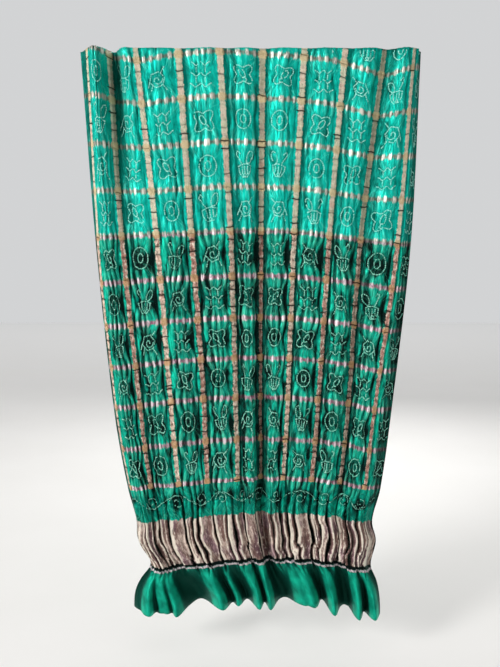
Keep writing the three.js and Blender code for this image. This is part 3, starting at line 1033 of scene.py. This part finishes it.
def silk_places(f):
    """Gives the finish what the silk's colours and relief are read from at each place on it."""
    f.hollow, f.tied, f.crest, f.swell = (f.spread(name) for name in ("hollow", "tied", "crest", "swell"))
    f.flat = f.join(f.times(f.across, 100), f.times(f.row, 90))
    f.streak, f.crease, f.glint = crinkle_streaks(f, f.across, f.row)
    f.rung, f.puff = band_rungs(f, f.across, f.row)
    f.thread = f.span(f.noise(f.flat, 1.4, 2), 0.3, 0.7)
    waver = f.stray(f.noise(f.flat, 0.30, 1), 0.05)
    f.woven_row = f.add(f.row, waver)
    f.beside_line = f.beside(f.woven_row)
    wander = f.stray(f.grain(4.3, 2.6, across=f.math("ROUND", f.across)), f.past_dye(f.row, 0.02, 0.07))
    f.beside_band = f.beside(f.add(f.across, waver, wander))
    f.weft_tone = f.grain(7, 2)
    f.emerald = f.span(f.woven_row, DYE_ROW - 0.01, DYE_ROW + 0.02)
    f.plain = f.span(f.woven_row, PLAIN_ROW - 0.02, PLAIN_ROW)
    f.dash, f.pucker = weft_puckers(f)


def weft_puckers(f):
    """The painted highlights on the weft: bright dashes where a weft line crosses a crest, and pale lines
    that fan out from it along the crinkle crests.
    """
    luck = f.grain(4.5, 1.3, 1)
    up = f.add(f.crest, f.stray(f.ripple(14, 3), 1.6))
    in_light = f.span(f.hollow, 0.55, 0.85, 1, 0.35)
    from_low = f.past_dye(f.row, -0.10, 0.10)
    strong = f.span(luck, 0.3, 0.55, 0.45, 1)
    dash = f.times(f.span(up, from_low, f.add(from_low, 0.55)), in_light, strong)
    near_line = f.fall(f.beside_line, 0.06, f.add(0.20, f.times(luck, 0.3)))
    in_field = f.fall(f.row, LAST_WEFT_ROW + 0.4, LAST_WEFT_ROW + 0.5)
    off_band = f.times(f.span(f.beside_band, 0.07, 0.12), in_field)
    return dash, f.times(f.span(up, 0.35, 0.95), near_line, off_band, f.span(luck, 0.25, 0.6, 0.4, 1))


def woven_shares(f):
    emerald = f.emerald
    checked = f.fall(f.woven_row, LAST_WEFT_ROW + 0.05, LAST_WEFT_ROW + 0.06)
    top = f.add(f.woven_row, f.stray(f.ripple(6, 8), 0.22), f.times(f.hollow, -0.06))
    above_plain = f.fall(f.woven_row, PLAIN_ROW - 0.01, PLAIN_ROW)
    in_tissue = f.times(f.span(top, TISSUE_ROW - 0.05, TISSUE_ROW - 0.02), above_plain)
    ragged = f.stray(f.grain(12, 11), f.fade(emerald, 0.020, 0.050))
    band_half = f.fade(f.puff, BAND_HALF * 0.88, BAND_HALF)
    band_half = f.add(f.times(band_half, f.fade(emerald, 1.0, 0.96)), ragged)
    band = f.times(checked, f.fall(f.less(f.beside_band, band_half), -0.008, 0.006))
    ends = f.stray(f.grain(30, 3), 0.09)
    line_half = f.add(f.span(f.dash, 0, 0.8, WEFT_HALF * 0.95, WEFT_HALF * 1.55), ends)
    weft = f.times(checked, f.fall(f.less(f.beside_line, line_half), -0.035, 0.024))
    return checked, in_tissue, band, f.times(weft, f.span(f.dash, 0, 0.6, 0.85, 1))


def band_shadow(f, checked):
    """The patchy shadow that a warp band throws on the silk to its left."""
    left_of_band = f.span(f.less(f.across, f.math("ROUND", f.across)), -0.02, 0.02, 1, 0.25)
    patchy = f.span(f.grain(3, 2.2, 1), 0.38, 0.58)
    near = f.span(f.beside_band, BAND_HALF + 0.004, BAND_HALF + 0.03, 0.7, 0)
    return f.times(checked, left_of_band, near, f.fade(f.emerald, 0.15, 0.9), patchy)


def silk_relief(f, checked):
    """Height of the fine relief: streaks and creases, puffs on the bands, and the weave."""
    crinkled = f.times(f.less(1, f.times(f.plain, 0.9)), f.fade(f.emerald, 0.6, 1))
    creased = f.less(f.streak, f.times(f.crease, 0.5))
    relief = f.bump(f.times(creased, crinkled), 0.0022)
    on_band = f.times(checked, f.fall(f.beside_band, 0.05, 0.09))
    relief = f.bump(f.times(on_band, f.less(f.puff, f.rung)), 0.0016, 1.0, relief)
    return f.bump(f.noise(f.flat, 2.2, 2), 0.0003, 0.6, relief)


def silk_gloss(f, in_tissue, band):
    """Satin silk, with a dull metal glint on the warp bands and the tissue."""
    metal = f.math("MAXIMUM", f.times(in_tissue, 0.4), f.fade(band, 0.38, 0.0))
    f.set("Metallic", metal)
    f.set("Roughness", f.less(0.42, f.times(in_tissue, 0.10)))
    f.set("Specular IOR Level", 0.15)
    f.set("Specular Tint", (0.45, 1.0, 0.85, 1))
    f.set("Sheen Weight", 0.05)
    f.set("Sheen Roughness", 0.4)
    f.set("Sheen Tint", (0.3, 1.0, 0.8, 1))


def silk_material():
    """The dyed silk with all that is woven into it, from the ground up."""
    f = Finish("crinkled_silk")
    f.on_weave()
    silk_places(f)
    checked, in_tissue, band, weft = woven_shares(f)
    colour = silk_colour(f)
    colour = f.mix(weft, colour, weft_colour(f))
    colour = f.mix(band_shadow(f, checked), colour, "08211A")
    colour = f.mix(band, colour, band_colour(f))
    crossing, gold = crossing_colour(f, checked)
    colour = f.mix(crossing, colour, gold)
    # Painted shade in the bands' puckers, along the rungs.
    colour = f.mix(f.times(f.rung, checked, 0.9), colour, "21140F")
    colour = f.mix(in_tissue, colour, tissue_colour(f))
    colour = end_lines(f, colour)
    f.set("Base Color", colour)
    f.set("Normal", silk_relief(f, checked))
    silk_gloss(f, in_tissue, band)
    return f.material


def dot_material():
    """Pale silk where the dye was tied out, a little darker over the emerald."""
    f = Finish("tied_dots")
    place = f.node("TexCoord").outputs["Object"]
    low = f.fall(f.split(place)[2], -DYE_DROP - 0.020, -DYE_DROP - 0.005)
    fleck = f.noise(place, 240, 2)
    upper = f.mix(f.span(fleck, 0.35, 0.65), "62D2C0", "AAE8DA")
    lower = f.mix(f.span(fleck, 0.35, 0.65), "58BCA2", "A0E4CE")
    f.set("Base Color", f.mix(low, upper, lower))
    f.set("Normal", f.bump(fleck, 0.0002, 0.5))
    f.set("Roughness", 0.55)
    return f.material


def floor_material():
    """Pale and even, brighter far away so that it meets the background."""
    f = Finish("pale_floor")
    place = f.node("TexCoord").outputs["Object"]
    f.set("Base Color", f.mix(f.noise(place, 3.0, 3), "D6D4D0", "DDDBD8"))
    f.set("Roughness", 0.8)
    f.set("Emission Color", STUDIO_GREY)
    far = f.math("ABSOLUTE", f.split(place)[1])
    f.set("Emission Strength", f.span(far, 0.5, 8, 0.16, 0.52))
    return f.material


# ---- Stage, light and camera ----


def make_floor():
    bm = bmesh.new()
    bmesh.ops.create_grid(bm, x_segments=2, y_segments=2, size=8, matrix=Matrix.Translation((0, 0, FLOOR_Z)))
    floor = finish_mesh(bm, "floor", floor_material())


def make_light(name, place, aim, size, power):
    """A soft round lamp."""
    light = bpy.data.lights.new(name, "AREA")
    light.shape = "DISK"
    light.size = size
    light.energy = power
    lamp = bpy.data.objects.new(name, light)
    lamp.location = place
    lamp.rotation_euler = (Vector(aim) - Vector(place)).to_track_quat("-Z", "Y").to_euler()
    bpy.context.scene.collection.objects.link(lamp)


def make_world():
    """A pale studio: bright where it is seen behind the cloth, and a low even light on the cloth itself."""
    world = bpy.data.worlds.new("studio")
    world.use_nodes = True
    nodes, links = world.node_tree.nodes, world.node_tree.links
    background = nodes["Background"]
    background.inputs["Color"].default_value = STUDIO_GREY
    seen = nodes.new("ShaderNodeLightPath").outputs["Is Camera Ray"]
    level = nodes.new("ShaderNodeMapRange")
    level.inputs["To Min"].default_value = 0.08
    level.inputs["To Max"].default_value = 0.75
    links.new(seen, level.inputs["Value"])
    links.new(level.outputs[0], background.inputs["Strength"])
    bpy.context.scene.world = world


def make_camera():
    camera = bpy.data.cameras.new("camera")
    camera.lens = LENS
    viewer = bpy.data.objects.new("camera", camera)
    viewer.location = EYE
    viewer.rotation_euler = (math.pi / 2 - PITCH_DOWN, 0, 0)
    bpy.context.scene.collection.objects.link(viewer)
    bpy.context.scene.camera = viewer
    bpy.context.scene.view_settings.view_transform = "Standard"


make_camera()
for light in LIGHTS:
    make_light(*light)
make_world()
make_floor()

across, drop = np.meshgrid(np.linspace(LEFT_EDGE, RIGHT_EDGE, COLUMNS + 1), row_places())
points, row = surface(across, drop)
strokes = check_strokes(np.random.default_rng(MOTIF_SEED)) + vine_strokes(np.random.default_rng(VINE_SEED))
dots = tied_dots(strokes)
tied_at = closeness(across, row, np.concatenate([dots[:, :2], enclosed(strokes)]))
points[..., 1] += TIED_SINK * tied_at
cloth = make_cloth(across, drop, points, row, tied_at, silk_material())
knots = make_dots(points, dots, dot_material())
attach(cloth, "root")
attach(knots, "root")
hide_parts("cloth")
